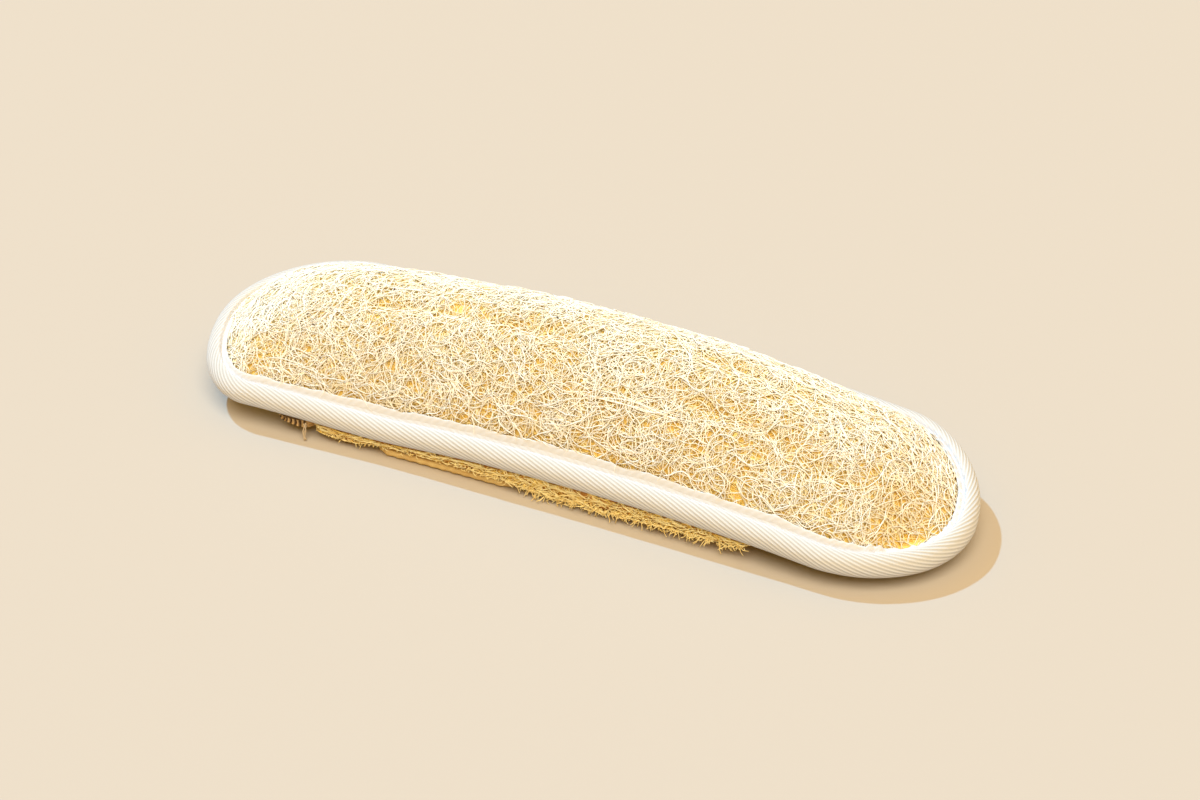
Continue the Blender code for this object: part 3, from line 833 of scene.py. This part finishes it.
def make_back(core_look, looks, slot):
    ends, gaps, count = (BACK_LEFT, BACK_RIGHT), (BACK_NEAR_GAP, BACK_FAR_GAP), 420

    def loop(inset):
        return band_loop(ends, gaps, BACK_CORNER, inset, count)

    inner = 0.9 * MM
    rings = [ring_at(loop(BACK_TUCK), under_panel), ring_at(loop(BACK_STEP), under_roll),
             ring_at(loop(inner), under_roll), ring_at(loop(inner * 1.6), lambda x, y: (under_roll(x, y) + fringe_low(x, y)) / 2),
             ring_at(loop(inner), lambda x, y: fringe_low(x, y) + 0.5 * MM),
             ring_at(loop(BACK_LIP), over_backing), ring_at(loop(16 * MM), over_backing)]
    body = loft(rings)
    ground = body.data.copy()
    smooth_all(body)
    ready("back_core", core_look, slot, "back_loofah")

    def sides(centres, normals):
        return (np.abs(normals[:, 2]) < 0.85) * (centres[:, 2] < under_roll(centres[:, 0], centres[:, 1]) + 0.1 * MM)

    def keep(x, y, z):
        return np.ones_like(x)

    def even(x, y):
        return np.zeros_like(x)

    layers = (("back_net_outer", 21, 2600, 5, 1.1 * MM, 0.2 * MM, 1.0 * MM, 0.19 * MM),
              ("back_net_inner", 22, 1800, 4, 1.1 * MM, -0.2 * MM, 0.4 * MM, 0.2 * MM))
    for (name, seed, many, steps, step, low, high, thick), look in zip(layers, looks):
        fibre_layer(ground, seed, many, steps, step, low, high, thick, sides, 0.5, keep, even)
        ready(name, look, slot)


def make_fringe(look, slot):
    """Frayed ends that stand out of the second layer's lower edge."""
    draw = np.random.default_rng(31)
    count, steps = 620, 5
    x = draw.uniform(BACK_LEFT + 2 * MM, BACK_RIGHT - 2 * MM, count)
    x = np.where(draw.random(count) < 0.6, draw.uniform(-25 * MM, BACK_RIGHT - 2 * MM, count), x)
    y = near_edge(x) + BACK_NEAR_GAP + draw.uniform(0.2, 1.4, count) * MM
    z = fringe_low(x, y) + draw.uniform(0.0, 1.6, count) * MM
    place = np.stack([x, y, z], 1)
    frayed = 0.45 + 0.55 * smooth_step((x + 30 * MM) / (30 * MM))
    size = draw.uniform(0.25, 0.78, count) * MM * frayed
    run = np.stack([draw.normal(0.25, 0.7, count), -np.abs(draw.normal(0.8, 0.4, count)), draw.normal(-0.35, 0.45, count)], 1)
    run /= np.linalg.norm(run, axis=1)[:, None]
    swirl = draw.normal(0, 0.75, (count, 3))
    lines = np.empty((count, steps + 1, 3))
    for k in range(steps + 1):
        lines[:, k] = place
        place = place + run * size[:, None]
        run = run + swirl + draw.normal(0, 0.18, (count, 3))
        run /= np.linalg.norm(run, axis=1)[:, None]
    radii = 0.2 * MM * draw.uniform(0.7, 1.2, count)[:, None] * np.linspace(1, 0.55, steps + 1)[None, :]
    lines[:, :, 2] = np.maximum(lines[:, :, 2], radii + 0.05 * MM)
    lines[:, :, 1] = np.maximum(lines[:, :, 1], near_edge(lines[:, :, 0]) - 1.5 * MM)
    ups = np.zeros_like(lines)
    ups[:, :, 2] = 1
    shades = np.clip(draw.normal(0.6, 0.25, count), 0, 1)[:, None] * np.ones((1, steps + 1))
    tube_mesh(lines, ups, radii, shades)
    return ready("frayed_ends", look, slot)


def make_cloth(look, slot):
    ends = (BACK_LEFT + BACK_LIP + CLOTH_SPARE, BACK_RIGHT - BACK_LIP - CLOTH_SPARE)
    gaps, count = (CLOTH_NEAR_GAP, CLOTH_FAR_GAP), 420

    def loop(inset):
        flat = band_loop(ends, gaps, BACK_CORNER, inset, count)
        near = flat[:, 1] + SHIFT < 0
        flat[:, 1] += np.where(near, CLOTH_RETREAT * (1 - window(flat[:, 0], CLOTH_RETREAT_RUN)), 0)
        flat[:, 1] += np.where(near, CLOTH_SCALLOP * np.abs(np.sin(math.pi * flat[:, 0] / CLOTH_STITCH)), 0)
        return flat

    def level(part):
        return lambda x, y: belly(x, y) + CLOTH_THICK * part

    rings = [ring_at(loop(inset * MM), level(part)) for inset, part in (
        (22, 0), (14, 0), (8, 0), (4, 0), (2, 0), (1.0, 0.02), (0.35, 0.14), (0.05, 0.35), (0.0, 0.5), (0.1, 0.7),
        (0.5, 0.9), (1.4, 1.0), (3, 1.0), (8, 1.0), (16, 1.0))]
    smooth_all(loft(rings))
    return ready("cotton_pad", look, slot, "back_cloth")


def make_cuff(look, slot):
    gaps, count = (BACK_NEAR_GAP, BACK_FAR_GAP), 480
    base = band_loop((CUFF_LEFT, CUFF_RIGHT), gaps, CUFF_CORNER, 0, count)
    inward = loop_inward(base)
    run = np.cumsum(np.linalg.norm(np.diff(np.vstack([base, base[:1]]), axis=0), axis=1))
    fold = 0.5 + 0.5 * np.sin(2 * math.pi * run / (1.9 * MM) + 1.2 * np.sin(run * 260))
    outer = smooth_step((CUFF_RIGHT - base[:, 0]) / (2 * MM))
    rings = []
    for part, deep in ((0, 0.3), (0.15, 0.75), (0.4, 1.0), (0.65, 1.0), (0.82, 0.55), (0.86, 0.1), (0.93, 0.0), (1.0, 0.25)):
        plan = base + inward * (fold * outer * deep * 0.9 * MM + (0.25 if part < 0.84 else 0.0) * MM)[:, None]
        top, low = under_roll(plan[:, 0], plan[:, 1]), cuff_low(plan[:, 0], plan[:, 1])
        rings.append(np.column_stack([plan, top + (low - top) * part]))
    band = loft(rings)
    # The fold attribute marks the valleys between the gathers, where the cuff's material paints shade near black.
    depth = band.data.attributes.new("fold", "FLOAT", "POINT")
    fold_shades = [fold**0.5 * outer * (1.0 if ring not in (0, len(rings) - 1) else 0.8) for ring in range(len(rings))]
    depth.data.foreach_set("value", np.concatenate(fold_shades).astype(np.float32))
    smooth_all(band)
    return ready("gathered_band", look, slot, "cuff")


def make_thread(look, slot):
    """The loose end of the sewing thread, which hangs from the tape beside the cuff."""
    draw = np.random.default_rng(41)
    x0 = -86.0 * MM
    y0 = float(near_edge(np.array(x0))) + 1.0 * MM
    top = float(under_roll(np.array(x0), np.array(y0))) + 0.3 * MM
    lines, radii = [], []
    for sway in (0.0, 1.0, 2.0):
        turn = np.linspace(0, 1, 12)
        x = x0 + (1.1 * turn + 0.5 * np.sin(5 * turn + sway)) * MM
        y = y0 - (1.6 * turn + 0.4 * np.cos(4 * turn + 2 * sway)) * MM
        z = top + (0.35 * MM - top) * turn
        lines.append(np.column_stack([x, y, z]))
        radii.append(np.full(12, 0.22 * MM) * (1 - 0.2 * draw.random(12)))
    lines = np.array(lines)
    ups = np.zeros_like(lines)
    ups[:, :, 1] = -1
    tube_mesh(lines, ups, np.array(radii), np.full((3, 12), 0.4), sides=6)
    return ready("thread_end", look, slot)


# Setting

def make_camera():
    back = Vector((math.sin(CAMERA_TURN) * math.cos(CAMERA_RISE), -math.cos(CAMERA_TURN) * math.cos(CAMERA_RISE),
                   math.sin(CAMERA_RISE)))
    data = bpy.data.cameras.new("camera")
    data.lens = CAMERA_LENS
    data.sensor_width = 36
    data.clip_start = 0.02
    camera = bpy.data.objects.new("camera", data)
    camera.location = CAMERA_AIM + back * CAMERA_AWAY
    camera.rotation_euler = back.to_track_quat("Z", "Y").to_euler()
    bpy.context.scene.collection.objects.link(camera)
    bpy.context.scene.camera = camera


def make_light():
    for name, source, energy, colour, spread in (
            ("window", WINDOW_FROM, 2.8, (0.27, 0.66, 1.0), 1.6), ("overhead", OVERHEAD_FROM, 2.8, (1.0, 0.92, 0.72), 50)):
        data = bpy.data.lights.new(name, "SUN")
        data.energy = energy
        data.color = colour
        data.angle = math.radians(spread)
        lamp = bpy.data.objects.new(name, data)
        lamp.rotation_euler = source.to_track_quat("Z", "Y").to_euler()
        bpy.context.scene.collection.objects.link(lamp)
    world = bpy.data.worlds.new("studio")
    world.use_nodes = True
    world.node_tree.nodes["Background"].inputs[0].default_value = (1.0, 0.54, 0.06, 1)
    world.node_tree.nodes["Background"].inputs[1].default_value = 0.68
    bpy.context.scene.world = world
    bpy.context.scene.view_settings.view_transform = "Standard"


def make_floor():
    deselect()
    bpy.ops.mesh.primitive_plane_add(size=6)
    floor = bpy.context.active_object
    floor.name = "floor"
    made, tree, shader = new_material("pale_paper", 0.9)
    shader.inputs["Base Color"].default_value = (0.510, 0.470, 0.442, 1)
    floor.data.materials.append(made)


make_camera()
make_light()
make_floor()

gourd_fibre = fibre_colour_group()
herringbone = herringbone_group()
# From the outer net to the core the looks grow more golden: partly the fibre's own colour, partly painted shade for
# depth.
outer_look = fibre_material("bleached_fibre", gourd_fibre, (0.98, 0.97, 0.95), (0.98, 0.93, 0.80), 0.7, 1.0)
upper_look = fibre_material("cream_fibre", gourd_fibre, (0.99, 0.94, 0.80), (0.98, 0.87, 0.56), 0.7, 1.0)
middle_look = fibre_material("straw_fibre", gourd_fibre, (0.99, 0.87, 0.50), (0.98, 0.78, 0.32), 0.75, 1.0)
inner_look = fibre_material("golden_fibre", gourd_fibre, (0.99, 0.78, 0.26), (0.97, 0.68, 0.15), 0.8)
core_look = fibre_material("amber_core", gourd_fibre, (0.97, 0.76, 0.28), (0.94, 0.66, 0.17), 0.9, attribute=False)
# The back net is more amber than the front's outer fibres: partly its own colour, partly painted shade for its place
# under the pad.
back_look = fibre_material("deep_amber_fibre", gourd_fibre, (1.0, 0.90, 0.52), (0.99, 0.74, 0.27), 0.75)
dim_look = fibre_material("shaded_core", gourd_fibre, (0.80, 0.44, 0.12), (0.28, 0.10, 0.02), 0.9, attribute=False)

make_front(core_look, (outer_look, outer_look, upper_look, middle_look, inner_look), "loofah_front")
make_tape(tape_material(herringbone), "cotton_tape")
make_back(dim_look, (back_look, inner_look), "loofah_back")
make_fringe(back_look, "loofah_back")
backing = make_cloth(cloth_material("mottled_cotton", (1.0, 0.84, 0.42), (0.62, 0.36, 0.11)), "cotton_backing")
# The near-black third colour is painted shade in the valleys between the gathers.
make_cuff(cloth_material("gathered_cotton", (0.98, 0.76, 0.42), (0.84, 0.50, 0.20), (0.035, 0.01, 0.004)), "gathered_cuff")
make_thread(cloth_material("thread_cotton", (0.80, 0.68, 0.52), (0.60, 0.48, 0.34)), "gathered_cuff")
